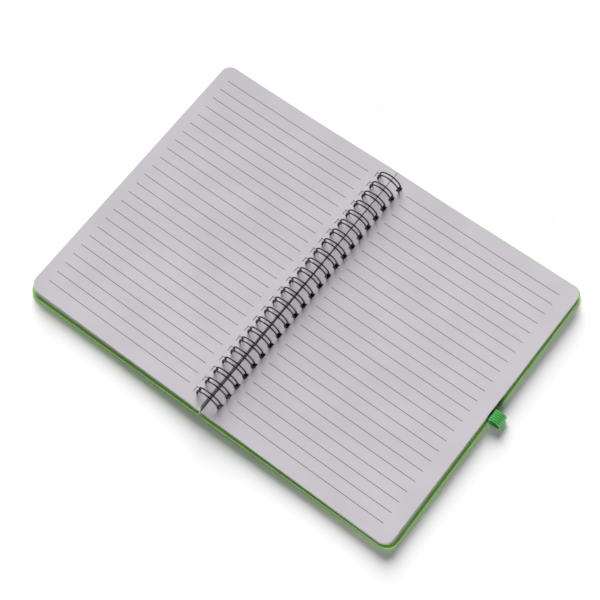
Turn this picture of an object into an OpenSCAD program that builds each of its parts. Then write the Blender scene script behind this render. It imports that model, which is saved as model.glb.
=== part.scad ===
// Ring-bound notebook lying open: two hard covers, two blocks of ruled leaves, a twin-loop
// wire that runs through punched holes, and an elastic pen loop on the back cover.
// The rings' axis runs along Y, the covers lie to the left (front) and right (back) of it, and
// the table is the plane z = 0.

/* [Binding wire] */
// Distance from one double loop to the next
ring_pitch = 8.467; // [7.5:0.001:10]
// Least distance from the middle of the first or last double loop to the end of the leaves
end_room = 8; // [6:0.5:14]
// Radius of the rings, to the middle of the wire
ring_r = 8.4; // [8:0.1:10]
// Thickness of the coated wire
wire_d = 1; // [0.7:0.05:1.3]
// Distance between the two wires of one loop, middle to middle
twin_gap = 2.6; // [2.2:0.1:3]
// Radius of the bends between a loop and the straight root wire
root_bend = 1; // [0.7:0.05:1.3]
// Length of the straight ends that close a ring at its seam
ring_lead = 0.3; // [0.2:0.05:0.5]
// Distance from the middle plane to the end of a ring's arc, on the root side
root_seam = 2.2; // [2:0.05:2.8]
// Distance from the middle plane to the end of a ring's arc, on the side of the loop tips
tip_seam = 2.2; // [2.1:0.05:2.8]

/* [Leaves] */
// Height of a leaf, along the spine
page_h = 205.5; // [120:0.5:250]
// Width of a leaf, from its punched edge to its fore edge
page_w = 143.9; // [90:0.1:200]
// Distance from the rings' middle plane to the punched edge of the top leaf
page_gap = 1.2; // [1.1:0.1:2.2]
// How far the lowest leaf of a block is drawn in towards the rings
leaf_shift = 0.7; // [0:0.1:0.8]
// Radius of the two corners at the fore edge
page_corner = 7; // [2:0.5:20]
// Side of the square holes punched for the wire
page_hole = 4.2; // [4:0.1:5]
// Thickness of the front block in its middle
front_block = 3.2; // [1.5:0.1:3.6]
// Thickness of the back block in its middle
back_block = 2.9; // [1.5:0.1:3.6]
// How much thicker a block gets where it climbs to the rings
ring_swell = 0.5; // [0:0.1:0.7]
// How much thicker a block gets at its fore edge
fore_swell = 2.2; // [0:0.1:3]
// Turn of the front block in its holes, seen from above
front_block_skew = 0; // [0:0.05:0.3]
// Turn of the back block in its holes, seen from above
back_block_skew = 0.3; // [0:0.05:0.4]

/* [Covers] */
// Distance from the rings' middle plane to a cover's binding edge
cover_gap = 0.8; // [0.8:0.1:2]
// How far a cover reaches past the leaves at the fore edge
fore_rim = 1.5; // [0.5:0.1:4]
// How far a cover reaches past the leaves at the head
head_rim = 1; // [0.5:0.1:4]
// How far a cover reaches past the leaves at the foot
foot_rim = 2; // [0.5:0.1:4]
// Radius of the two corners at the fore edge
cover_corner = 8; // [3:0.5:20]
// Height of the binding edge over the table, where it rides on the rings
cover_lift = 3; // [2.8:0.1:3.2]
// Turn of the front cover in its slots, seen from above
front_cover_skew = 0.3; // [0:0.05:0.4]
// Turn of the back cover in its slots, seen from above
back_cover_skew = 0.8; // [0:0.05:0.8]
// Thickness of the greyboard
board_t = 1.3; // [1:0.05:1.4]
// Thickness of the outer skin
skin_t = 0.35; // [0.2:0.05:0.4]
// Thickness of the endpaper
endpaper_t = 0.15; // [0.1:0.05:0.25]
// Width of the skin that is turned in round the edge of the board
turn_in = 12; // [8:0.5:15]
// Distance from a cover's edge to its endpaper
endpaper_inset = 2; // [1:0.5:3]
// Least strip of endpaper between its binding edge and the slots
slot_web = 0.5; // [0.3:0.1:1.5]

/* [Pen loop] */
// Place of the loop's middle along the cover, from the middle of the rings
loop_y = 1.5; // [-60:0.1:60]
// Width of the elastic band
loop_w = 8.5; // [6:0.5:20]
// Thickness of the elastic band
band_t = 0.75; // [0.6:0.05:1]
// Outer height of the loop
loop_h = 6.6; // [6.3:0.1:7.5]
// How far the loop stands out from the cover's fore edge
loop_out = 8; // [8:0.1:14]
// Thickness of the pressed tail that is glued in under the endpaper
tail_t = 1.1; // [0.8:0.05:1.2]
// Length of the tail inside the cover
tail_l = 14; // [8:0.5:20]

/* [Clearances] */
// Play of the wire in the slots of the covers, on top of what the skew takes
slot_play = 0.25; // [0.15:0.05:0.4]
// Gap between a block of leaves and the endpaper under it
rest_gap = 0.1; // [0.05:0.05:0.2]
// Gap between a block of leaves and the plane in which the two blocks meet when one is turned over
meet_gap = 0.2; // [0.15:0.05:0.3]
// Gap between the tail of the pen loop and its pocket
pocket_gap = 0.05; // [0.02:0.01:0.1]
// Height of the pen loop over the table
loop_clear = 0.2; // [0.1:0.05:0.5]
// Gap between the pen loop's round end and the cover's fore edge
edge_gap = 0.1; // [0.05:0.05:0.3]

/* [Hidden] */
$fn = 48;

skin_color = "#5b9637";
board_color = "#9a8f7e";
paper_color = "#eeecef";
endpaper_color = "#e4e4e0";
wire_color = "#19161e";
elastic_color = "#50ac55";

// Rings: the angle that the seam leaves open on each side of the lowest point
root_turn = asin(root_seam / ring_r);
tip_turn = asin(tip_seam / ring_r);
tip_r = twin_gap / 2;
root_drop = ring_r * cos(root_turn) + (ring_lead + root_bend) * sin(root_turn);
tip_drop = ring_r * cos(tip_turn) + (ring_lead + tip_r) * sin(tip_turn);
// Height of the rings' axis: the lowest point of the wire lies on the table
axis_z = max(ring_r, root_drop, tip_drop) + wire_d / 2;
ring_count = floor((page_h - 2 * end_room) / ring_pitch) + 1;
row_half = (ring_count - 1) * ring_pitch / 2;
ring_in = ring_r - wire_d / 2;
ring_out = ring_r + wire_d / 2;

// Covers: size across and along the spine, total thickness, and the tilt that the rings give them
page_x1 = page_gap + page_w;
cover_w = page_x1 + fore_rim - cover_gap;
cover_t = 2 * skin_t + board_t + endpaper_t;
cover_h = page_h + head_rim + foot_rim;
cover_y = (head_rim - foot_rim) / 2;
tilt = asin(cover_lift / cover_w);
// Stretch of x in which a ring passes through a cover, and the slot round it
slot_low = cover_lift - ring_r * tan(tilt);
slot_top = cover_lift + cover_t;
cross_in = sqrt(pow(ring_in, 2) - pow(axis_z - slot_low, 2));
cross_out = sqrt(pow(ring_out, 2) - pow(axis_z - slot_top, 2));
slot_reach = slot_play + row_half * sin(max(front_cover_skew, back_cover_skew));
slot_x0 = cross_in - slot_reach;
slot_x1 = cross_out + slot_reach;
slot_mid = (slot_x0 + slot_x1) / 2;
// At the binding edge the endpaper reaches further out where the slots come near
bind_inset = min(endpaper_inset, slot_x0 - cover_gap - slot_web);

// Leaves: the highest place of a block, and the points along its upper side
page_top = axis_z - meet_gap;
profile_steps = 36;
// Zones in which a block thickens towards the rings and towards the fore edge
ring_zone = 0.4 * page_w;
fore_zone = 0.5 * page_w;
cut_over = 2;

// Pen loop, in the cover's own frame: the two round ends and the height of their middle
loop_r = loop_h / 2;
loop_z = loop_clear + loop_out * sin(tilt) + loop_r;
loop_x0 = cover_w + edge_gap + loop_r;
loop_x1 = cover_w + loop_out - loop_r;
tail_z = cover_t - endpaper_t - tail_t / 2 - pocket_gap;
loop_steps = 14;

// Middle of the whole object seen from above, which is put on the origin
tip_x = cover_gap + loop_x1 * cos(tilt) + loop_z * sin(tilt) - slot_mid;
right_x = slot_mid + (tip_x + loop_r) * cos(back_cover_skew)
          - (loop_y - loop_w / 2) * sin(back_cover_skew);
// From the row of slots to the middle of a cover's round corners
corner_x = cover_gap + cover_w * cos(tilt) + cover_t * sin(tilt) - cover_corner - slot_mid;
head_corner = cover_y + cover_h / 2 - cover_corner;
foot_corner = cover_y - cover_h / 2 + cover_corner;
left_x = -slot_mid - corner_x * cos(front_cover_skew)
         - head_corner * sin(front_cover_skew) - cover_corner;
head_y = corner_x * sin(back_cover_skew) + head_corner * cos(back_cover_skew) + cover_corner;
foot_y = min(foot_corner * cos(front_cover_skew) - corner_x * sin(front_cover_skew)
             - cover_corner,
             (cover_y - cover_h / 2) * cos(back_cover_skew)
             - (slot_mid - cover_gap) * sin(back_cover_skew));
mid_x = (right_x + left_x) / 2;
mid_y = (head_y + foot_y) / 2;

// Height of the cover's inner face at a distance x from the rings' middle plane
function cover_top(x) = cover_lift + cover_t / cos(tilt) - (x - cover_gap) * tan(tilt);

// Distance from the middle plane of a ring's wire at the height z
function wire_x(z) = sqrt(pow(ring_r, 2) - pow(axis_z - z, 2));

// Thickness of a block at x: thin in the middle, thicker at the rings and at the fore edge
function block_t(x, mid) =
    let (to_ring = max(0, 1 - (x - page_gap) / ring_zone),
         to_fore = max(0, 1 - (page_x1 - x) / fore_zone))
    mid + ring_swell * pow(to_ring, 2) + fore_swell * pow(to_fore, 1.6);

// Upper side of a block at x, which never reaches the plane in which the blocks meet
function block_top(x, mid) = min(page_top, cover_top(x) + rest_gap + block_t(x, mid));

function step_x(i) = page_gap + page_w * i / profile_steps;

// Side view of a block: the drawn-in lowest leaf, the fore edge and the upper side
module block_profile(mid) {
    low_in = page_gap - leaf_shift;
    low_out = page_x1 - leaf_shift;
    polygon(concat(
        [[low_in, cover_top(low_in) + rest_gap], [low_out, cover_top(low_out) + rest_gap]],
        [for (i = [profile_steps:-1:0]) [step_x(i), block_top(step_x(i), mid)]]));
}

// Outline seen from above, straight at the binding edge and rounded at the fore edge
module leaf_outline(width, height, corner) {
    translate([0, -height / 2 + corner])
        square([width, height - 2 * corner]);
    translate([0, -height / 2])
        square([width - corner, height]);
    for (side = [-1, 1])
        translate([width - corner, side * (height / 2 - corner)])
            circle(r = corner);
}

module ring_row() {
    for (i = [0:ring_count - 1])
        translate([0, -row_half + i * ring_pitch, 0])
            children();
}

// Slanted punch for one loop, which follows the curve of the ring through the leaves
module page_punch() {
    low = cover_top(ring_r) - cut_over;
    high = axis_z + cut_over;
    low_x = wire_x(cover_top(ring_r)) - (wire_x(page_top) - wire_x(cover_top(ring_r)))
            * cut_over / (page_top - cover_top(ring_r));
    high_x = wire_x(page_top) + (wire_x(page_top) - wire_x(cover_top(ring_r)))
             * (high - page_top) / (page_top - cover_top(ring_r));
    rotate([90, 0, 0])
        linear_extrude(height = page_hole, center = true)
            polygon([[low_x - page_hole / 2, low], [low_x + page_hole / 2, low],
                     [high_x + page_hole / 2, high], [high_x - page_hole / 2, high]]);
}

// One block of leaves to the right of the rings
module page_block(mid) {
    difference() {
        intersection() {
            rotate([90, 0, 0])
                linear_extrude(height = page_h, center = true)
                    block_profile(mid);
            linear_extrude(height = axis_z)
                leaf_outline(page_x1, page_h, page_corner);
        }
        ring_row() page_punch();
    }
}

// Moves a piece from the cover's own frame, binding edge at x = 0, to its place on the rings
module on_cover() {
    translate([cover_gap, 0, cover_lift])
        rotate([0, tilt, 0])
            translate([0, cover_y, 0])
                children();
}

// Upright slots for the wire, through a cover that lies in its place
module cover_slots() {
    ring_row()
        translate([slot_x0, -page_hole / 2, -cut_over])
            cube([slot_x1 - slot_x0, page_hole, cover_lift + cover_t + 2 * cut_over]);
}

// Pocket in a cover for the tail of the pen loop, open to the fore edge
module loop_pocket() {
    translate([cover_w - tail_l - pocket_gap, loop_y - cover_y - loop_w / 2 - pocket_gap,
               tail_z - tail_t / 2 - pocket_gap])
        cube([tail_l + cut_over, loop_w + 2 * pocket_gap, tail_t + cut_over]);
}

// Skin: the outer sheet, its walls round the board and the turned-in margin
module cover_skin() {
    difference() {
        on_cover() difference() {
            linear_extrude(height = cover_t - endpaper_t)
                leaf_outline(cover_w, cover_h, cover_corner);
            translate([skin_t, 0, skin_t])
                linear_extrude(height = board_t)
                    leaf_outline(cover_w - 2 * skin_t, cover_h - 2 * skin_t,
                                 cover_corner - skin_t);
            translate([turn_in, -cover_h / 2 + turn_in, skin_t + board_t / 2])
                cube([cover_w - 2 * turn_in, cover_h - 2 * turn_in, cover_t]);
            children();
        }
        cover_slots();
    }
}

// Board that the skin is wrapped round
module cover_board() {
    difference() {
        on_cover() difference() {
            translate([skin_t, 0, skin_t])
                linear_extrude(height = board_t)
                    leaf_outline(cover_w - 2 * skin_t, cover_h - 2 * skin_t,
                                 cover_corner - skin_t);
            children();
        }
        cover_slots();
    }
}

// Endpaper over the turned-in margin, with the filler sheet that evens out the field inside it
module cover_endpaper() {
    difference() {
        on_cover() {
            translate([bind_inset, 0, cover_t - endpaper_t])
                linear_extrude(height = endpaper_t)
                    leaf_outline(cover_w - bind_inset - endpaper_inset,
                                 cover_h - 2 * endpaper_inset,
                                 cover_corner - endpaper_inset);
            difference() {
                translate([turn_in, -cover_h / 2 + turn_in, skin_t + board_t])
                    cube([cover_w - 2 * turn_in, cover_h - 2 * turn_in, skin_t]);
                children();
            }
        }
        cover_slots();
    }
}

// Frame of a point on the ring: X away from the axis, Y onward along the wire, Z towards the foot
module on_ring(y, turn) {
    translate([0, y, axis_z])
        rotate([90, 0, 0])
            rotate([0, 0, turn])
                children();
}

// Bent piece of wire about the X axis of a point's frame
module wire_bend(bend_r, from, sweep) {
    rotate([0, 90, 0])
        rotate([0, 0, from])
            rotate_extrude(angle = sweep)
                translate([bend_r, 0])
                    circle(d = wire_d, $fn = 20);
}

// Straight end of a ring, onward from a point's frame or back from it
module ring_end(way) {
    translate([ring_r, 0, 0])
        rotate([-90 * way, 0, 0])
            cylinder(h = ring_lead, d = wire_d, $fn = 20);
}

// One double loop: two open rings that a hairpin joins at the tip
module double_loop() {
    for (side = [-1, 1]) {
        on_ring(side * tip_r, root_turn - 90)
            rotate_extrude(angle = 360 - root_turn - tip_turn, $fn = 96)
                translate([ring_r, 0])
                    circle(d = wire_d, $fn = 20);
        on_ring(side * tip_r, root_turn - 90) ring_end(-1);
        on_ring(side * tip_r, 270 - tip_turn) ring_end(1);
    }
    on_ring(0, 270 - tip_turn)
        translate([ring_r, ring_lead, 0])
            wire_bend(tip_r, 0, 180);
}

// Root wire from one double loop to the next, with its two bends
module root_wire() {
    straight = ring_pitch - twin_gap - 2 * root_bend;
    on_ring(tip_r, root_turn - 90)
        translate([ring_r, -ring_lead, -root_bend]) {
            wire_bend(root_bend, 180, 90);
            translate([0, -root_bend, -straight])
                cylinder(h = straight, d = wire_d, $fn = 20);
            translate([0, 0, -straight])
                wire_bend(root_bend, -90, 90);
        }
}

// Puts the front half, modelled to the right of the rings, on the left and turned in its holes
module front_side(skew) {
    translate([-slot_mid - mid_x, -mid_y, 0])
        rotate([0, 0, skew])
            translate([slot_mid, 0, 0])
                mirror([1, 0, 0])
                    children();
}

// Puts the back half in its place, turned a little in its holes
module back_side(skew) {
    translate([slot_mid - mid_x, -mid_y, 0])
        rotate([0, 0, skew])
            translate([-slot_mid, 0, 0])
                children();
}

module front_cover_skin() {
    color(skin_color)
        front_side(front_cover_skew) cover_skin();
}

module front_cover_board() {
    color(board_color)
        front_side(front_cover_skew) cover_board();
}

module front_endpaper() {
    color(endpaper_color)
        front_side(front_cover_skew) cover_endpaper();
}

module front_pages() {
    color(paper_color)
        front_side(front_block_skew) page_block(front_block);
}

module binding_wire() {
    color(wire_color)
        translate([-mid_x, -mid_y, 0]) {
            ring_row() double_loop();
            for (i = [0:ring_count - 2])
                translate([0, -row_half + i * ring_pitch, 0])
                    root_wire();
        }
}

module back_pages() {
    color(paper_color)
        back_side(back_block_skew) page_block(back_block);
}

module back_endpaper() {
    color(endpaper_color)
        back_side(back_cover_skew) cover_endpaper() loop_pocket();
}

module back_cover_board() {
    color(board_color)
        back_side(back_cover_skew) cover_board() loop_pocket();
}

module back_cover_skin() {
    color(skin_color)
        back_side(back_cover_skew) cover_skin() loop_pocket();
}

// Outline of the loop seen from the foot: two round ends and the straight sides between them
module loop_ring(radius) {
    polygon([for (end = [0, 1], k = [0:loop_steps])
        let (turn = 180 * (end + k / loop_steps) - 90)
        [(end == 0 ? loop_x1 : loop_x0) + radius * cos(turn), loop_z + radius * sin(turn)]]);
}

module pen_loop() {
    color(elastic_color)
        back_side(back_cover_skew) on_cover()
            translate([0, loop_y - cover_y, 0])
                rotate([90, 0, 0])
                    linear_extrude(height = loop_w, center = true)
                        difference() {
                            union() {
                                loop_ring(loop_r);
                                translate([cover_w - tail_l, tail_z - tail_t / 2])
                                    square([loop_x0 - cover_w + tail_l, tail_t]);
                            }
                            loop_ring(loop_r - band_t);
                        }
}

front_cover_skin();
front_cover_board();
front_endpaper();
front_pages();
binding_wire();
back_pages();
back_endpaper();
back_cover_board();
back_cover_skin();
pen_loop();
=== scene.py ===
import bpy
import bmesh
import math
import random
from mathutils import Matrix, Vector


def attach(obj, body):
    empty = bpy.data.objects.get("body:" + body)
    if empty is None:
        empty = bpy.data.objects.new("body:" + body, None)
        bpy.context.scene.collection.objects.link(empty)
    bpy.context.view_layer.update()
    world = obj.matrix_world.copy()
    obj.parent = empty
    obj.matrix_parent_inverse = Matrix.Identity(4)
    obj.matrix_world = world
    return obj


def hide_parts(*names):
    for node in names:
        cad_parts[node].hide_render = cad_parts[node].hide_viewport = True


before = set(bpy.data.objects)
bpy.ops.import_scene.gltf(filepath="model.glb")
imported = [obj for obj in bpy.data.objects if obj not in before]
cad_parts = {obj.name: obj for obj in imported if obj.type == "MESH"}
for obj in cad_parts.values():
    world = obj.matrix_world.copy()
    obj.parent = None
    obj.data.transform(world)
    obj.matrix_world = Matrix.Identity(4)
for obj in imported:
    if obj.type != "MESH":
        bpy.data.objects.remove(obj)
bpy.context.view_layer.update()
print("frame loaded:", ", ".join(sorted(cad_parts)))

mm = 0.001  # the pieces are given in millimetres, Blender works in metres

# Main sizes of the notebook, the same as in the CAD source
notebook = {
    "ringCount": 23,
    "ringPitch": 8.467,
    "ringRadius": 8.4,
    "axisHeight": 9.02583,      # rings' axis over the table
    "midX": 3.77729,            # middle of the whole object, seen from the rings' middle
    "midY": 0.07262,
    "coverLift": 3.0,           # of the cover's underside at the rings
    "coverGap": 0.8,            # from the rings' middle plane to the cover
    "coverWidth": 145.8,
    "coverThick": 2.15,
    "slotMid": 6.45464,         # the back half is turned about this place on the rings
    "coverSkew": 0.8,           # turn of the back cover, degrees
}
notebook["tilt"] = math.asin(notebook["coverLift"] / notebook["coverWidth"])


def coverTop(x):  # height of a cover's inner face at x from the rings' middle plane
    n = notebook
    return (n["coverLift"] + n["coverThick"] / math.cos(n["tilt"])
            - (x - n["coverGap"]) * math.tan(n["tilt"]))


def backPlace(skew):  # place of a back piece that is turned about the row of slots
    n = notebook
    return (Matrix.Translation(Vector((n["slotMid"] - n["midX"], -n["midY"], 0)) * mm)
            @ Matrix.Rotation(math.radians(skew), 4, "Z")
            @ Matrix.Translation(Vector((-n["slotMid"], 0, 0)) * mm))


def frontPlace():
    return Matrix.Translation(Vector((-notebook["midX"], -notebook["midY"], 0)) * mm)


# Shader tools

# where the nodes of a material stand in the shader editor
nodeGrid = {"left": -1200, "columns": 9, "wide": 170, "high": 220, "shader": 600, "output": 900}


def linear(red, green, blue):  # a colour given as 0-255 on the screen
    def one(value):
        value = value / 255
        return value / 12.92 if value <= 0.04045 else ((value + 0.055) / 1.055) ** 2.4
    return (one(red), one(green), one(blue), 1.0)


class Signal:  # a socket that expressions can use
    def __init__(self, finish, socket):
        self.finish = finish
        self.socket = socket

    def maths(self, operation, *others):
        return self.finish.node("ShaderNodeMath", {"operation": operation},
                                dict(enumerate((self, *others))))

    def reflected(self, operation, other):
        return self.finish.node("ShaderNodeMath", {"operation": operation}, {0: other, 1: self})

    def __add__(self, other):
        return self.maths("ADD", other)

    def __radd__(self, other):
        return self.reflected("ADD", other)

    def __sub__(self, other):
        return self.maths("SUBTRACT", other)

    def __rsub__(self, other):
        return self.reflected("SUBTRACT", other)

    def __mul__(self, other):
        return self.maths("MULTIPLY", other)

    def __rmul__(self, other):
        return self.reflected("MULTIPLY", other)

    def __truediv__(self, other):
        return self.maths("DIVIDE", other)

    def __rtruediv__(self, other):
        return self.reflected("DIVIDE", other)

    def __mod__(self, other):
        return self.maths("FLOORED_MODULO", other)

    def __rmod__(self, other):
        return self.reflected("FLOORED_MODULO", other)

    def __lt__(self, other):
        return self.maths("LESS_THAN", other)

    def __gt__(self, other):
        return self.maths("GREATER_THAN", other)

    def __abs__(self):
        return self.maths("ABSOLUTE")

    def sin(self):
        return self.maths("SINE")

    def ease(self, low, high, toLow=0.0, toHigh=1.0):  # soft step between two values
        return self.finish.node("ShaderNodeMapRange", {"interpolation_type": "SMOOTHSTEP"},
                                {0: self, 1: low, 2: high, 3: toLow, 4: toHigh})


class Finish:  # a material in the making
    def __init__(self, name):
        self.material = bpy.data.materials.new(name)
        self.material.use_nodes = True
        self.tree = self.material.node_tree
        self.tree.nodes.clear()
        self.shader = self.tree.nodes.new("ShaderNodeBsdfPrincipled")
        self.shader.location = (nodeGrid["shader"], 0)
        end = self.tree.nodes.new("ShaderNodeOutputMaterial")
        end.location = (nodeGrid["output"], 0)
        self.tree.links.new(self.shader.outputs[0], end.inputs["Surface"])
        self.count = 0

    def give(self, node, sockets):
        for key, value in sockets.items():
            socket = node.inputs[key]
            if isinstance(value, Signal):
                self.tree.links.new(value.socket, socket)
            else:
                socket.default_value = value

    def node(self, kind, settings=None, sockets=None, output=0):
        node = self.tree.nodes.new(kind)
        row, column = divmod(self.count, nodeGrid["columns"])
        node.location = (nodeGrid["left"] + nodeGrid["wide"] * column, -nodeGrid["high"] * row)
        self.count += 1
        for key, value in (settings or {}).items():
            setattr(node, key, value)
        self.give(node, sockets or {})
        return Signal(self, node.outputs[output])

    def surface(self, **sockets):  # Base_Color= and so on, on the shader's own sockets
        self.give(self.shader, {key.replace("_", " "): value for key, value in sockets.items()})

    def scaled(self, vector, factor):
        return self.node("ShaderNodeVectorMath", {"operation": "SCALE"},
                         {0: vector, "Scale": factor})

    def moved(self, vector, by):
        return self.node("ShaderNodeVectorMath", {"operation": "ADD"}, {0: vector, 1: by})

    def millimetres(self):  # object coordinates as a vector in millimetres
        return self.scaled(self.node("ShaderNodeTexCoord", output="Object"), 1 / mm)

    def split(self, vector):
        node = self.node("ShaderNodeSeparateXYZ", sockets={0: vector}).socket.node
        return [Signal(self, output) for output in node.outputs]

    def noise(self, vector, scale, detail=2.0, rough=0.5):
        return self.node("ShaderNodeTexNoise", {"noise_dimensions": "3D"},
                         {"Vector": vector, "Scale": scale, "Detail": detail, "Roughness": rough})

    def layers(self, vector, along, through, detail, rough):  # noise drawn out along flat layers
        x, y, z = self.split(vector)
        drawn = self.node("ShaderNodeCombineXYZ",
                          sockets={0: x * along, 1: y * along, 2: z * through})
        return self.noise(drawn, 1.0, detail, rough)

    def cells(self, vector, scale, feature="F1"):
        return self.node("ShaderNodeTexVoronoi", {"feature": feature, "voronoi_dimensions": "3D"},
                         {"Vector": vector, "Scale": scale})

    def blend(self, share, colourA, colourB):
        return self.node("ShaderNodeMix", {"data_type": "RGBA"},
                         {0: share, 6: colourA, 7: colourB}, output=2)

    def bump(self, height, depth, strength):  # depth in millimetres
        return self.node("ShaderNodeBump", output="Normal",
                         sockets={"Height": height, "Distance": depth * mm, "Strength": strength})


# Finishes: scales are per millimetre, depths in millimetres

paperLook = {
    "white": linear(195, 191, 197),
    "shade": linear(190, 186, 192),
    "cloudScale": 0.035,
    "fibreScale": 3.2,
    "fibreShare": 0.25,         # how much of the shade the fibres bring
    "fibreDepth": 0.04,
    "roughness": 0.82,
    "shine": 0.25,
    "lineColour": linear(84, 78, 84),
    "lineWidth": 0.4,
    "lineBlur": 0.05,
    "lineSpacing": 8.007,
    "firstLine": -92.1,         # lowest line, from the middle of the rings
    "lineCount": 24,
    "inkScale": 5.0,            # the ink is a little uneven
    "inkLeast": 0.75,
    "frontSpan": (-136.9, -16.6),   # from where to where a line runs
    "backSpan": (15.1, 134.5),
}


def paperFinish(name, span):  # ruled uncoated paper
    look = paperLook
    finish = Finish(name)
    place = finish.millimetres()
    x, y = finish.split(place)[:2]
    cloud = finish.noise(place, look["cloudScale"], detail=3.0)
    fibre = finish.noise(place, look["fibreScale"], detail=4.0, rough=0.65)
    paper = finish.blend(cloud.ease(0.3, 0.7), look["white"], look["shade"])
    paper = finish.blend(fibre.ease(0.35, 0.75, toHigh=look["fibreShare"]), paper, look["shade"])
    line = (y - (look["firstLine"] - look["lineSpacing"] / 2)) / look["lineSpacing"]
    fromLine = abs(line % 1.0 - 0.5) * look["lineSpacing"]
    edge, blur = look["lineWidth"] / 2, look["lineBlur"]
    ink = fromLine.ease(edge - blur, edge + blur, toLow=1.0, toHigh=0.0)
    ink = ink * (x > span[0]) * (x < span[1])
    ink = ink * (line > 0.0) * (line < float(look["lineCount"]))
    ink = ink * finish.noise(place, look["inkScale"]).ease(0.2, 0.6, toLow=look["inkLeast"])
    colour = finish.blend(ink, paper, look["lineColour"])
    finish.surface(Base_Color=colour, Roughness=look["roughness"],
                   Specular_IOR_Level=look["shine"],
                   Normal=finish.bump(fibre, look["fibreDepth"], strength=0.35))
    return finish.material


leafEdgeLook = {
    # the edges' colours are on the whole lighter than the page paper: painted light on the cut
    # edges
    "light": linear(216, 212, 216),
    "shade": linear(184, 180, 185),
    "alongScale": 0.25,
    "throughScale": 9.0,
    "depth": 0.08,
    "roughness": 0.9,
    "shine": 0.2,
}


def leafEdgeFinish():  # cut edges of the leaves, on the whole painted a little lighter than the page paper as painted light on the edges; the tone changes from leaf to leaf
    look = leafEdgeLook
    finish = Finish("leafEdges")
    thin = finish.layers(finish.millimetres(), look["alongScale"], look["throughScale"],
                         detail=3.0, rough=0.6)
    colour = finish.blend(thin.ease(0.3, 0.7), look["light"], look["shade"])
    finish.surface(Base_Color=colour, Roughness=look["roughness"],
                   Specular_IOR_Level=look["shine"],
                   Normal=finish.bump(thin, look["depth"], strength=0.5))
    return finish.material


skinLook = {
    "green": linear(132, 191, 88),
    "deep": linear(123, 181, 79),
    "grainScale": 1.5,
    "grainDepth": 0.07,
    "warpScale": 0.6,           # the grain's cells are pushed about by a soft noise
    "warp": 0.5,
    "creaseWidth": 0.22,        # of the creases' slope and of their line of painted shade, in cells
    "creaseShadeWidth": 0.12,
    "creaseShadeShare": 0.35,        # how much of the deep green the creases' painted shade and the wear bring
    "wearShare": 0.6,
    "wearScale": 0.08,
    "creaseHeight": 0.7,        # parts of the relief
    "fineHeight": 0.2,
    "pebbleHeight": 0.2,
    "fineScale": 9.0,
    "roughness": 0.62,
    "fineRoughness": 0.2,
    "shine": 0.2,
}


def skinFinish():  # grained leatherette
    look = skinLook
    finish = Finish("leatherette")
    place = finish.millimetres()
    warp = finish.noise(place, look["warpScale"])
    warped = finish.moved(place, finish.scaled(warp, look["warp"]))
    pebble = finish.cells(warped, look["grainScale"], "SMOOTH_F1")
    crease = finish.cells(warped, look["grainScale"], "DISTANCE_TO_EDGE")
    fine = finish.noise(place, look["fineScale"], detail=3.0, rough=0.6)
    height = (crease.ease(0.0, look["creaseWidth"]) * look["creaseHeight"]
              + fine * look["fineHeight"] - pebble * look["pebbleHeight"])
    wear = finish.noise(place, look["wearScale"], detail=4.0, rough=0.6)
    colour = finish.blend(wear.ease(0.3, 0.8, toHigh=look["wearShare"]),
                          look["green"], look["deep"])
    # painted shade: the colour darkens towards the deep green in the grain's creases
    dark = crease.ease(0.0, look["creaseShadeWidth"], toLow=look["creaseShadeShare"], toHigh=0.0)
    colour = finish.blend(dark, colour, look["deep"])
    finish.surface(Base_Color=colour, Roughness=look["roughness"] + fine * look["fineRoughness"],
                   Specular_IOR_Level=look["shine"],
                   Normal=finish.bump(height, look["grainDepth"], strength=0.8))
    return finish.material


boardLook = {
    "light": linear(168, 156, 136),
    "dark": linear(128, 117, 100),
    "fleck": linear(92, 84, 74),
    "alongScale": 0.4,
    "throughScale": 7.0,
    "fleckScale": 2.3,
    "fleckSize": 0.12,
    "fleckShare": 0.5,
    "plyDepth": 0.1,
    "roughness": 0.93,
    "shine": 0.15,
}


def boardFinish():  # raw greyboard
    look = boardLook
    finish = Finish("greyboard")
    place = finish.millimetres()
    plies = finish.layers(place, look["alongScale"], look["throughScale"],
                          detail=4.0, rough=0.65)
    flecks = finish.cells(place, look["fleckScale"])
    colour = finish.blend(plies.ease(0.3, 0.7), look["light"], look["dark"])
    spots = flecks.ease(0.0, look["fleckSize"], toLow=look["fleckShare"], toHigh=0.0)
    colour = finish.blend(spots, colour, look["fleck"])
    finish.surface(Base_Color=colour, Roughness=look["roughness"],
                   Specular_IOR_Level=look["shine"],
                   Normal=finish.bump(plies, look["plyDepth"], strength=0.6))
    return finish.material


endpaperLook = {
    "white": linear(224, 224, 218),
    "shade": linear(221, 220, 214),
    "fibre": linear(204, 203, 196),
    "cloudScale": 0.05,
    "fibreScale": 2.4,
    "fibreShare": 0.3,
    "fibreDepth": 0.04,
    "roughness": 0.8,
    "shine": 0.25,
}


def endpaperFinish():
    look = endpaperLook
    finish = Finish("endpaper")
    place = finish.millimetres()
    fibre = finish.noise(place, look["fibreScale"], detail=4.0, rough=0.6)
    cloud = finish.noise(place, look["cloudScale"])
    colour = finish.blend(cloud.ease(0.3, 0.7), look["white"], look["shade"])
    colour = finish.blend(fibre.ease(0.5, 0.75, toHigh=look["fibreShare"]),
                          colour, look["fibre"])
    finish.surface(Base_Color=colour, Roughness=look["roughness"],
                   Specular_IOR_Level=look["shine"],
                   Normal=finish.bump(fibre, look["fibreDepth"], strength=0.4))
    return finish.material


wireLook = {
    "black": linear(18, 16, 20),
    "worn": linear(27, 25, 30),
    "fineScale": 6.0,
    "fineDepth": 0.03,
    "broadScale": 0.4,
    "roughness": 0.34,
    "fineRoughness": 0.16,
    "shine": 0.35,
}


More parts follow.
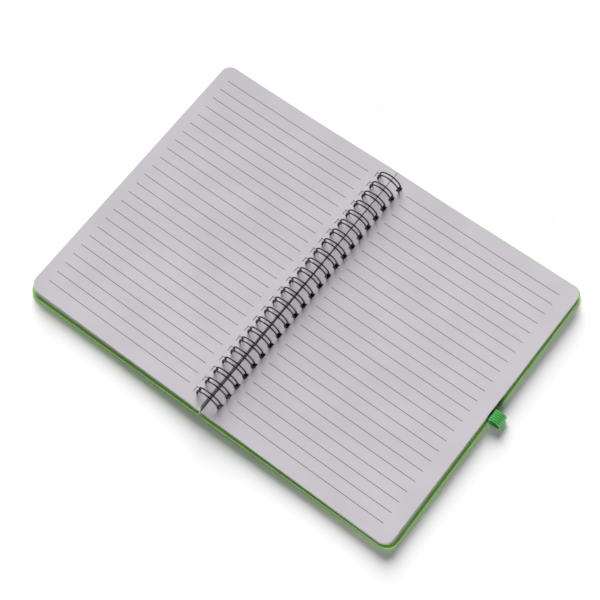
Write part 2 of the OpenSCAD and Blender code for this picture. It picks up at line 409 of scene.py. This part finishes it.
def wireFinish():  # black nylon coat
    look = wireLook
    finish = Finish("coatedWire")
    place = finish.millimetres()
    fine = finish.noise(place, look["fineScale"], detail=3.0, rough=0.6)
    broad = finish.noise(place, look["broadScale"])
    colour = finish.blend(broad.ease(0.3, 0.7), look["black"], look["worn"])
    finish.surface(Base_Color=colour, Roughness=look["roughness"] + fine * look["fineRoughness"],
                   Specular_IOR_Level=look["shine"],
                   Normal=finish.bump(fine, look["fineDepth"], strength=0.35))
    return finish.material


floorLook = {
    "white": linear(253, 253, 253),
    "shade": linear(250, 250, 250),
    "cloudScale": 0.002,
    "roughness": 0.9,
    "shine": 0.1,
}


def floorFinish():
    look = floorLook
    finish = Finish("studioFloor")
    cloud = finish.noise(finish.millimetres(), look["cloudScale"])
    colour = finish.blend(cloud.ease(0.3, 0.7), look["shade"], look["white"])
    finish.surface(Base_Color=colour, Roughness=look["roughness"],
                   Specular_IOR_Level=look["shine"])
    return finish.material


# Mesh tools

def addObject(name, data):
    item = bpy.data.objects.new(name, data)
    bpy.context.scene.collection.objects.link(item)
    return item


def makePiece(name, corners, faces, finishes, slots=None, smooth=True):  # corners in millimetres
    mesh = bpy.data.meshes.new(name)
    mesh.from_pydata([[value * mm for value in corner] for corner in corners], [], faces)
    for finish in finishes:
        mesh.materials.append(finish)
    if slots:
        mesh.polygons.foreach_set("material_index", slots)
    mesh.validate()
    work = bmesh.new()
    work.from_mesh(mesh)
    bmesh.ops.recalc_face_normals(work, faces=work.faces)
    work.to_mesh(mesh)
    work.free()
    mesh.polygons.foreach_set("use_smooth", [smooth] * len(mesh.polygons))
    return addObject(name, mesh)


def dress(nodeName, finish):  # new material on a CAD node
    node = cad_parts[nodeName]
    node.data.materials.clear()
    node.data.materials.append(finish)
    return node


# Leaves

leaves = {
    # punched edge of the top leaf from the rings' middle plane, and how much closer the lowest
    # leaf lies: at the head and at the foot
    "gap": (0.42, 1.15),
    "shift": (0.05, 1.0),
    "outer": 145.1,             # fore edge of the top leaf
    "foreShift": 0.5,           # how far the lowest leaf is drawn in at the fore edge
    "height": 205.5,
    "corner": 7.0,
    "holeLength": 4.1,
    # punched holes, from the wire's middle: the near side, the end of the shaft, and the far
    # side of the top leaf's hole
    "frontHole": (-0.85, 0.8, 2.9),
    "backHole": (-1.35, 1.35, 1.6),
    "shaftDrift": 1.0,          # the shaft follows the curve of the ring downward
    "shelfDepth": 0.3,          # of the second leaf, whose holes lie a little off
    "frontThick": 3.2,          # of a block, in the middle of the page
    "backThick": 2.9,
    "ringSwell": 0.5,
    "ringZone": (1.2, 57.6),    # where the swell at the rings starts, and its length
    "ringPower": 2,
    "foreSwell": 2.2,
    "foreZone": 72.0,
    "forePower": 1.6,
    "restGap": 0.1,             # between a block and its cover
    "meetGap": 0.2,             # between a block's top and the height of the rings' axis
    "count": 34,                # leaves in a block
    "groove": 0.17,             # how far in the groove between two leaves ends
    "edgeShare": (0.15, 0.85),  # the part of a leaf's thickness between two grooves
    "ragged": 0.16,             # how unevenly the leaves are stacked
    "lean": 0.05,               # and how much more of it at one end than in the middle
    "bindingShare": 0.3,        # of both at the punched edge
    "backSkew": 0.3,            # turn of the back block, degrees
    "plainStart": 14.0,         # from here to the round corners the mesh is cut evenly
    "plainSteps": 40,
    "cornerSteps": 12,
    "creaseAngle": 35,          # degrees, where the shading breaks
}
pageSlot, edgeSlot = 0, 1  # a block's two materials
nearSide, shaftEnd, farSide = 1, 2, 3  # columns of the mesh at a hole


def blockThick(x, thick):
    toRing = max(0.0, 1 - (x - leaves["ringZone"][0]) / leaves["ringZone"][1])
    toFore = max(0.0, 1 - (leaves["outer"] - x) / leaves["foreZone"])
    return (thick + leaves["ringSwell"] * toRing ** leaves["ringPower"]
            + leaves["foreSwell"] * toFore ** leaves["forePower"])


def blockTop(x, thick):
    return min(notebook["axisHeight"] - leaves["meetGap"],
               coverTop(x) + leaves["restGap"] + blockThick(x, thick))


class LeafBlock:  # built as a back block, from the rings' middle plane outward
    def __init__(self, name, thick, hole):
        self.name = name
        self.thick = thick
        self.half = leaves["height"] / 2
        self.straight = leaves["outer"] - leaves["corner"]  # where the round corners start
        self.cutsX = self.columns(hole)
        self.cutsY = self.rows()
        self.corners, self.faces, self.slots = [], [], []
        self.low = self.sheet(0)
        self.top = self.sheet(1)
        self.pages()
        self.holes()
        self.edges()

    def columns(self, hole):
        start, steps = leaves["plainStart"], leaves["plainSteps"]
        cornerSteps = leaves["cornerSteps"]
        cuts = [leaves["gap"][0]] + [notebook["ringRadius"] + side for side in hole] + [start]
        cuts += [start + (self.straight - start) * i / steps for i in range(1, steps + 1)]
        cuts += [self.straight + leaves["corner"] * math.sin(math.radians(90 * i / cornerSteps))
                 for i in range(1, cornerSteps + 1)]
        return cuts

    def rows(self):  # None is an end, which follows the outline
        cuts = []
        for i in range(notebook["ringCount"]):
            middle = (i - (notebook["ringCount"] - 1) / 2) * notebook["ringPitch"]
            cuts += [middle - leaves["holeLength"] / 2, middle + leaves["holeLength"] / 2]
        return [None] + cuts + [None]

    def endY(self, x):  # half height of the leaf at x, less where the corner is round
        corner = leaves["corner"]
        into = max(0.0, x - self.straight)
        return self.half - corner + math.sqrt(max(0.0, corner ** 2 - into ** 2))

    def spot(self, i, j, share):  # share 1 is the top leaf, 0 the lowest
        x = self.cutsX[i]
        y = self.cutsY[j]
        if y is None:
            y = -self.endY(x) if j == 0 else self.endY(x)
        toFoot = (1 - y / self.half) / 2
        gap, shift = (head + (foot - head) * toFoot
                      for head, foot in (leaves["gap"], leaves["shift"]))
        if i == 0:
            x = gap
        drawn = shift + (leaves["foreShift"] - shift) * (x - gap) / (leaves["outer"] - gap)
        if i in (nearSide, shaftEnd, farSide):
            drawn = leaves["shaftDrift"]
        low = coverTop(x - drawn) + leaves["restGap"]
        high = blockTop(x, self.thick)
        return [x - drawn * (1 - share), y, low + (high - low) * share]

    def corner(self, point):
        self.corners.append(point)
        return len(self.corners) - 1

    def face(self, corners, slot):
        self.faces.append(corners)
        self.slots.append(slot)

    def sheet(self, share):
        return {(i, j): self.corner(self.spot(i, j, share))
                for i in range(len(self.cutsX)) for j in range(len(self.cutsY))}

    def pages(self):  # underside and top, open at the holes
        for sheet, holeColumns in ((self.low, (nearSide,)), (self.top, (nearSide, shaftEnd))):
            for i in range(len(self.cutsX) - 1):
                for j in range(len(self.cutsY) - 1):
                    if j % 2 == 1 and i in holeColumns:
                        continue
                    self.face([sheet[i, j], sheet[i + 1, j],
                               sheet[i + 1, j + 1], sheet[i, j + 1]], pageSlot)

    def holes(self):  # shaft of each hole, and the shelf of the second leaf in it
        low, top = self.low, self.top
        for j in range(1, len(self.cutsY) - 1, 2):
            k = j + 1
            shelf = {}
            for place in ((shaftEnd, j), (farSide, j), (farSide, k), (shaftEnd, k)):
                x, y, z = self.spot(*place, 1)
                shelf[place] = self.corner([x, y, z - leaves["shelfDepth"]])
            self.face([low[nearSide, j], low[nearSide, k], top[nearSide, k], top[nearSide, j]],
                      edgeSlot)
            self.face([low[shaftEnd, j], low[shaftEnd, k], shelf[shaftEnd, k], shelf[shaftEnd, j]],
                      edgeSlot)
            self.face([top[farSide, j], top[farSide, k], shelf[farSide, k], shelf[farSide, j]],
                      edgeSlot)
            for m in (j, k):
                self.face([low[nearSide, m], low[shaftEnd, m], shelf[shaftEnd, m],
                           top[shaftEnd, m], top[nearSide, m]], edgeSlot)
                self.face([shelf[shaftEnd, m], shelf[farSide, m], top[farSide, m],
                           top[shaftEnd, m]], edgeSlot)
            self.face([shelf[shaftEnd, j], shelf[farSide, j], shelf[farSide, k],
                       shelf[shaftEnd, k]], pageSlot)

    def edges(self):  # cut edges, leaf by leaf from the lowest, with a groove between two leaves
        lastI, lastJ = len(self.cutsX) - 1, len(self.cutsY) - 1
        rim = ([(i, 0) for i in range(lastI)] + [(lastI, j) for j in range(lastJ)]
               + [(i, lastJ) for i in range(lastI, 0, -1)] + [(0, j) for j in range(lastJ, 0, -1)])
        flat = [Vector(self.spot(i, j, 1)[:2]) for i, j in rim]
        outward = []
        for k in range(len(rim)):
            along = flat[(k + 1) % len(rim)] - flat[k - 1]
            outward.append(Vector((along.y, -along.x)).normalized())
        dice = random.Random(self.name)
        count = leaves["count"]
        below = [self.low[place] for place in rim]
        for leaf in range(count):
            base = dice.uniform(0, leaves["ragged"])
            lean = dice.uniform(-leaves["lean"], leaves["lean"])
            levels = [(leaf / count, leaves["groove"])] if leaf else []
            levels += [((leaf + part) / count, None) for part in leaves["edgeShare"]]
            for share, groove in levels:
                row = []
                for (i, j), out in zip(rim, outward):
                    x, y, z = self.spot(i, j, share)
                    back = groove or max(0.0, base + lean * y / self.half)
                    if i == 0:
                        back *= leaves["bindingShare"]
                    row.append(self.corner([x - out.x * back, y - out.y * back, z]))
                self.band(below, row)
                below = row
        self.band(below, [self.top[place] for place in rim])

    def band(self, below, above):
        for k in range(len(below)):
            k2 = (k + 1) % len(below)
            self.face([below[k], below[k2], above[k2], above[k]], edgeSlot)

    def piece(self, way, pageFinish, edgeFinish):  # way is -1 for the front, 1 for the back
        corners = [[way * x, y, z] for x, y, z in self.corners]
        block = makePiece(self.name, corners, self.faces, [pageFinish, edgeFinish], self.slots)
        crease = block.modifiers.new("edges", "EDGE_SPLIT")
        crease.split_angle = math.radians(leaves["creaseAngle"])
        return block


print("building the leaves")
edgePaper = leafEdgeFinish()
frontPaper = paperFinish("ruledPaperFront", paperLook["frontSpan"])
frontBlock = LeafBlock("frontLeaves", leaves["frontThick"], leaves["frontHole"])
frontLeaves = frontBlock.piece(-1, frontPaper, edgePaper)
frontLeaves.matrix_world = frontPlace()
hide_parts("front_pages")
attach(frontLeaves, "front_leaves")
backPaper = paperFinish("ruledPaperBack", paperLook["backSpan"])
backBlock = LeafBlock("backLeaves", leaves["backThick"], leaves["backHole"])
backLeaves = backBlock.piece(1, backPaper, edgePaper)
backLeaves.matrix_world = backPlace(leaves["backSkew"])
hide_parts("back_pages")
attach(backLeaves, "back_leaves")

# Covers and binding wire

covers = {
    "softEdge": 0.25,           # rounding of the skin's edges, millimetres
    "softSteps": 2,
    "softAngle": 50,            # degrees: only edges sharper than this are rounded
}

print("dressing the covers")
skin, board, endpaper = skinFinish(), boardFinish(), endpaperFinish()
for side in ("front", "back"):
    wrapped = dress(side + "_cover_skin", skin)
    dress(side + "_cover_board", board)
    dress(side + "_endpaper", endpaper)
    bevel = wrapped.modifiers.new("softEdge", "BEVEL")
    bevel.width = covers["softEdge"] * mm
    bevel.segments = covers["softSteps"]
    bevel.limit_method = "ANGLE"
    bevel.angle_limit = math.radians(covers["softAngle"])
dress("binding_wire", wireFinish())

# Pen loop

penLoop = {
    "middle": 1.5,              # along the cover, from the middle of the rings
    "width": 8.5,
    "thick": 0.75,
    "ribs": 6,
    "ribDepth": 0.2,
    "ribSteps": 8,
    "edgeRound": 0.35,          # rounding of the band's two edges
    # the band's path seen from the foot: from the cover's fore edge outward, and up
    "path": [(-14.0, 1.68), (-6.0, 1.68), (-0.9, 1.68), (0.25, 2.05), (0.25, 3.2), (-0.45, 4.5),
             (-0.45, 5.6), (0.7, 6.4), (2.6, 6.6), (4.7, 6.45), (6.4, 5.9), (7.4, 4.7), (7.6, 3.3),
             (7.1, 1.85), (5.7, 0.92), (4.0, 0.76),
             (2.2, 0.85), (0.5, 1.08), (-0.9, 1.12), (-6.0, 1.12), (-14.0, 1.12)],
    "pathSteps": 6,
    "pressed": 0.62,            # share of its thickness that a ply keeps inside the cover
    "springStart": -2.0,        # from here outward it comes back to its full thickness
    "springLength": 3.0,
}

elasticLook = {
    "green": linear(74, 178, 82),
    # deep is painted shade for the low places of the weave
    "deep": linear(12, 88, 28),
    "pick": 0.6,                # spacing of the cross threads, millimetres
    "threadScale": 7.0,
    "ribHeight": 0.7,           # parts of the relief
    "pickHeight": 0.15,
    "threadHeight": 0.25,
    "weaveDepth": 0.12,
    "roughness": 0.78,
    "shine": 0.3,
    "fuzz": 0.25,
    "fuzzRoughness": 0.5,
}


def elasticFinish():  # woven elastic, its ribs run along the band
    look = elasticLook
    finish = Finish("wovenElastic")
    place = finish.millimetres()
    x, y, z = finish.split(place)
    ribStart = penLoop["middle"] - penLoop["width"] / 2
    ribWidth = penLoop["width"] / penLoop["ribs"]
    across = abs(((y - ribStart) * (math.pi / ribWidth)).sin())
    along = ((x + z) * (math.tau / look["pick"])).sin() * 0.5 + 0.5
    thread = finish.noise(place, look["threadScale"], detail=3.0, rough=0.6)
    weave = (across * look["ribHeight"] + along * look["pickHeight"]
             + thread * look["threadHeight"])
    # painted shade: the colour goes to the deep green where the weave lies low, between the ribs
    # and the picks; the thread noise adds uneven tone
    colour = finish.blend(weave.ease(0.3, 0.85), look["deep"], look["green"])
    finish.surface(Base_Color=colour, Roughness=look["roughness"],
                   Specular_IOR_Level=look["shine"],
                   Sheen_Weight=look["fuzz"], Sheen_Roughness=look["fuzzRoughness"],
                   Normal=finish.bump(weave, look["weaveDepth"], strength=0.7))
    return finish.material


def smoothPath(points, steps):  # Catmull-Rom through the points
    result = []
    ends = [points[0]] + list(points) + [points[-1]]
    for a, b, c, d in zip(ends, ends[1:], ends[2:], ends[3:]):
        a, b, c, d = (Vector(p) for p in (a, b, c, d))
        for step in range(steps):
            t = step / steps
            result.append(0.5 * ((2 * b) + (c - a) * t + (2 * a - 5 * b + 4 * c - d) * t * t
                                 + (3 * b - a - 3 * c + d) * t ** 3))
    result.append(Vector(points[-1]))
    return result


def bandOutline():  # cross-section of the band: across it and through it
    look = penLoop
    steps = look["ribSteps"] * look["ribs"]
    outline = []
    for side in (1, -1):
        for k in range(steps + 1):
            share = k / steps if side > 0 else 1 - k / steps
            edge = min(share, 1 - share) * look["width"]
            fall = max(0.0, 1 - edge / look["edgeRound"])
            rounding = math.sqrt(max(0.0, 1 - fall ** 2))
            rib = look["ribDepth"] * (1 - abs(math.cos(share * look["ribs"] * math.pi)))
            outline.append(((share * 2 - 1) * look["width"] / 2,
                            side * (look["thick"] / 2 - rib) * rounding))
    return outline


def elasticBand():
    look = penLoop
    path = smoothPath(look["path"], look["pathSteps"])
    outline = bandOutline()
    size = len(outline)
    corners, faces = [], []
    for k, point in enumerate(path):
        along = path[min(k + 1, len(path) - 1)] - path[max(k - 1, 0)]
        normal = Vector((-along.y, along.x)).normalized()
        sprung = (point.x - look["springStart"]) / look["springLength"]
        pressed = min(1.0, max(look["pressed"], sprung))
        for y, through in outline:
            corners.append([notebook["coverWidth"] + point.x + normal.x * through * pressed,
                            look["middle"] + y, point.y + normal.y * through * pressed])
    for k in range(len(path) - 1):
        for m in range(size):
            m2 = (m + 1) % size
            faces.append([k * size + m, k * size + m2, (k + 1) * size + m2, (k + 1) * size + m])
    faces.append(list(range(size)))
    faces.append([(len(path) - 1) * size + m for m in range(size)][::-1])
    return makePiece("elasticLoop", corners, faces, [elasticFinish()])


print("weaving the pen loop")
loop = elasticBand()
onCover = (Matrix.Translation(Vector((notebook["coverGap"], 0, notebook["coverLift"])) * mm)
           @ Matrix.Rotation(notebook["tilt"], 4, "Y"))
loop.matrix_world = backPlace(notebook["coverSkew"]) @ onCover
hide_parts("pen_loop")
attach(loop, "back_cover")

# Floor, light and camera: lengths in metres, angles in degrees

studio = {
    "floorSize": 40.0,
    "worldColour": (1, 1, 1, 1),
    "worldStrength": 0.12,
    "keyStrength": 6.35,
    "keyFrom": (-0.59, 0.66, 0.44),
    "keySpread": 40.0,          # wide, so that shadows are soft
    "fillStrength": 4.5,        # low light on the edges that face the camera
    "fillFrom": (0.68, -0.72, 0.045),
    "fillSpread": 12.0,
}
camera = {
    "place": (0.32634, -0.28526, 0.9551),
    "turn": (23.8622, 4.9982, 38.3481),
    "lens": 98.006,             # lens and sensor in millimetres
    "sensor": 36.0,
    "nearest": 0.01,
}


def softSun(name, away, strength, spread):
    data = bpy.data.lights.new(name, "SUN")
    data.angle = math.radians(spread)
    data.energy = strength
    light = addObject(name, data)
    light.location = away
    light.rotation_euler = (-Vector(away)).to_track_quat("-Z", "Y").to_euler()


print("setting up the studio")
reach = studio["floorSize"] / 2 / mm
floor = makePiece("floor",
                  [(-reach, -reach, 0), (reach, -reach, 0), (reach, reach, 0), (-reach, reach, 0)],
                  [(0, 1, 2, 3)], [floorFinish()], smooth=False)
softSun("keyLight", studio["keyFrom"], studio["keyStrength"], studio["keySpread"])
softSun("fillLight", studio["fillFrom"], studio["fillStrength"], studio["fillSpread"])
world = bpy.data.worlds.new("studioWorld")
world.use_nodes = True
background = world.node_tree.nodes["Background"]
background.inputs["Color"].default_value = studio["worldColour"]
background.inputs["Strength"].default_value = studio["worldStrength"]
bpy.context.scene.world = world
bpy.context.scene.view_settings.view_transform = "Standard"

lensData = bpy.data.cameras.new("camera")
lensData.lens = camera["lens"]
lensData.sensor_width = camera["sensor"]
lensData.clip_start = camera["nearest"]
eye = addObject("camera", lensData)
eye.location = camera["place"]
eye.rotation_euler = [math.radians(angle) for angle in camera["turn"]]
bpy.context.scene.camera = eye

print("done")
